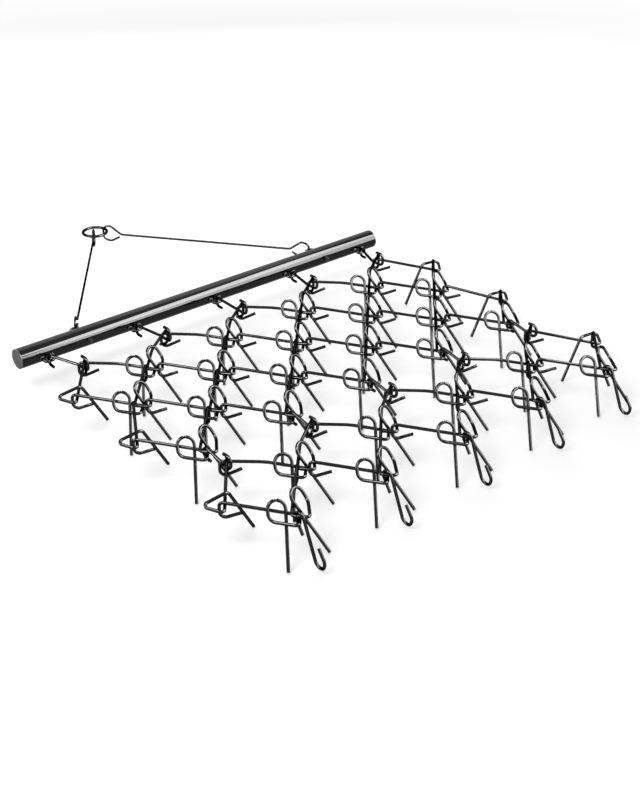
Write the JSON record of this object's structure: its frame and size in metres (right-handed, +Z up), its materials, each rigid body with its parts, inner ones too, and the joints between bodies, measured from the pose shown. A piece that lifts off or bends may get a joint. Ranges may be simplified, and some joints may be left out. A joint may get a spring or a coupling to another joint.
{
  "type": "drag harrow",
  "caption": "Flexible drag harrow: a mat of interlinked bent-wire tine links on S-hooks behind a tubular drawbar, with converging pull rods and a tow ring.",
  "frame": {"origin": "on the ground, midway from the front of the tow ring to the rear of the trailing hooks, on the middle line", "axes": "+Y along the mat towards the trailing hooks, away from the tow ring; +Z up; +X across, so the row repeats along X"},
  "size_m": [1.2982, 1.7756, 0.1436],
  "materials": {
    "tine_wire": "gloss black coated wire",
    "hook_wire": "gloss black coated wire",
    "bar_paint": "gloss black paint",
    "cap_paint": "satin black paint",
    "eye_wire": "gloss black coated wire",
    "bolt_steel": "black coated steel",
    "nut_steel": "black coated steel",
    "rod_steel": "gloss black coated wire",
    "ring_steel": "gloss black coated wire"
  },
  "bodies": {
    "drawbar": {"drawbar_tube": "bar_paint", "end_cap_left": "cap_paint", "end_cap_right": "cap_paint", "rear_eye_1": "eye_wire", "rear_eye_2": "eye_wire", "rear_eye_3": "eye_wire", "rear_eye_4": "eye_wire", "rear_eye_5": "eye_wire", "eye_bolt_left": "bolt_steel", "bolt_nut_left": "nut_steel", "eye_bolt_right": "bolt_steel", "bolt_nut_right": "nut_steel"},
    "front_hooks": {"front_hook_1": "hook_wire", "front_hook_2": "hook_wire", "front_hook_3": "hook_wire", "front_hook_4": "hook_wire", "front_hook_5": "hook_wire"},
    "mat_row_1": {"tine_pair_r1_1": "tine_wire", "tine_pair_r1_2": "tine_wire", "tine_pair_r1_3": "tine_wire", "tine_pair_r1_4": "tine_wire", "tine_pair_r1_5": "tine_wire"},
    "mat_row_2": {"tine_pair_r2_1": "tine_wire", "tine_pair_r2_2": "tine_wire", "tine_pair_r2_3": "tine_wire", "tine_pair_r2_4": "tine_wire", "tine_pair_r2_5": "tine_wire"},
    "mat_row_3": {"tine_pair_r3_1": "tine_wire", "tine_pair_r3_2": "tine_wire", "tine_pair_r3_3": "tine_wire", "tine_pair_r3_4": "tine_wire", "tine_pair_r3_5": "tine_wire"},
    "mat_row_4": {"tine_pair_r4_1": "tine_wire", "tine_pair_r4_2": "tine_wire", "tine_pair_r4_3": "tine_wire", "tine_pair_r4_4": "tine_wire", "tine_pair_r4_5": "tine_wire"},
    "mat_row_5": {"tine_pair_r5_1": "tine_wire", "tine_pair_r5_2": "tine_wire", "tine_pair_r5_3": "tine_wire", "tine_pair_r5_4": "tine_wire", "tine_pair_r5_5": "tine_wire"},
    "mat_row_6": {"tine_pair_r6_1": "tine_wire", "tine_pair_r6_2": "tine_wire", "tine_pair_r6_3": "tine_wire", "tine_pair_r6_4": "tine_wire", "tine_pair_r6_5": "tine_wire"},
    "mid_hooks": {"mid_hook_1": "hook_wire", "mid_hook_2": "hook_wire", "mid_hook_3": "hook_wire", "mid_hook_4": "hook_wire", "mid_hook_5": "hook_wire"},
    "trailing_hook_1": {"rear_hook_1": "hook_wire"},
    "trailing_hook_2": {"rear_hook_2": "hook_wire"},
    "trailing_hook_3": {"rear_hook_3": "hook_wire"},
    "trailing_hook_4": {"rear_hook_4": "hook_wire"},
    "trailing_hook_5": {"rear_hook_5": "hook_wire"},
    "left_pull_rod": {"pull_rod_left": "rod_steel"},
    "right_pull_rod": {"pull_rod_right": "rod_steel"},
    "ring": {"tow_ring": "ring_steel"}
  },
  "joints": [
    {"name": "front_hooks_swing", "type": "hinge", "parent": "drawbar", "child": "front_hooks", "pos_m": [0, -0.18713, 0.0877], "axis": [1, 0, 0], "range_deg": [-20, 25]},
    {"name": "row_1_fold", "type": "hinge", "parent": "front_hooks", "child": "mat_row_1", "pos_m": [0, -0.07462, 0.112], "axis": [1, 0, 0], "range_deg": [-14, 16]},
    {"name": "row_2_fold", "type": "hinge", "parent": "mat_row_1", "child": "mat_row_2", "pos_m": [0, 0.05687, 0.1], "axis": [1, 0, 0], "range_deg": [-7, 9]},
    {"name": "row_3_fold", "type": "hinge", "parent": "mat_row_2", "child": "mat_row_3", "pos_m": [0, 0.19307, 0.1], "axis": [1, 0, 0], "range_deg": [-7, 9]},
    {"name": "row_4_fold", "type": "hinge", "parent": "mat_row_3", "child": "mat_row_4", "pos_m": [0, 0.32927, 0.1], "axis": [1, 0, 0], "range_deg": [-7, 9]},
    {"name": "mid_hooks_swing", "type": "hinge", "parent": "mat_row_4", "child": "mid_hooks", "pos_m": [0, 0.46409, 0.10103], "axis": [1, 0, 0], "range_deg": [-25, 30]},
    {"name": "row_5_fold", "type": "hinge", "parent": "mid_hooks", "child": "mat_row_5", "pos_m": [0, 0.53547, 0.112], "axis": [1, 0, 0], "range_deg": [-14, 16]},
    {"name": "row_6_fold", "type": "hinge", "parent": "mat_row_5", "child": "mat_row_6", "pos_m": [0, 0.66697, 0.1], "axis": [1, 0, 0], "range_deg": [-7, 9]},
    {"name": "trailing_hook_1_swing", "type": "hinge", "parent": "mat_row_6", "child": "trailing_hook_1", "pos_m": [0.508, 0.80179, 0.10103], "axis": [1, 0, 0], "range_deg": [-30, 50]},
    {"name": "trailing_hook_2_swing", "type": "hinge", "parent": "mat_row_6", "child": "trailing_hook_2", "pos_m": [0.254, 0.80179, 0.10103], "axis": [1, 0, 0], "range_deg": [-30, 50]},
    {"name": "trailing_hook_3_swing", "type": "hinge", "parent": "mat_row_6", "child": "trailing_hook_3", "pos_m": [0, 0.80179, 0.10103], "axis": [1, 0, 0], "range_deg": [-30, 50]},
    {"name": "trailing_hook_4_swing", "type": "hinge", "parent": "mat_row_6", "child": "trailing_hook_4", "pos_m": [-0.254, 0.80179, 0.10103], "axis": [1, 0, 0], "range_deg": [-30, 50]},
    {"name": "trailing_hook_5_swing", "type": "hinge", "parent": "mat_row_6", "child": "trailing_hook_5", "pos_m": [-0.508, 0.80179, 0.10103], "axis": [1, 0, 0], "range_deg": [-30, 50]},
    {"name": "left_pull_rod_swing", "type": "hinge", "parent": "drawbar", "child": "left_pull_rod", "pos_m": [0.40595, -0.28704, 0.0987], "axis": [1, 0, 0], "range_deg": [-12, 35]},
    {"name": "right_pull_rod_swing", "type": "hinge", "parent": "drawbar", "child": "right_pull_rod", "pos_m": [-0.40595, -0.28704, 0.0987], "axis": [1, 0, 0], "range_deg": [-12, 35]},
    {"name": "ring_swing", "type": "hinge", "parent": "left_pull_rod", "child": "ring", "pos_m": [0.02173, -0.81638, 0.0887], "axis": [1, 0, 0], "range_deg": [-30, 30]}
  ],
  "couplings": [
    {"joint": "right_pull_rod_swing", "follows": "left_pull_rod_swing", "ratio": 1}
  ]
}
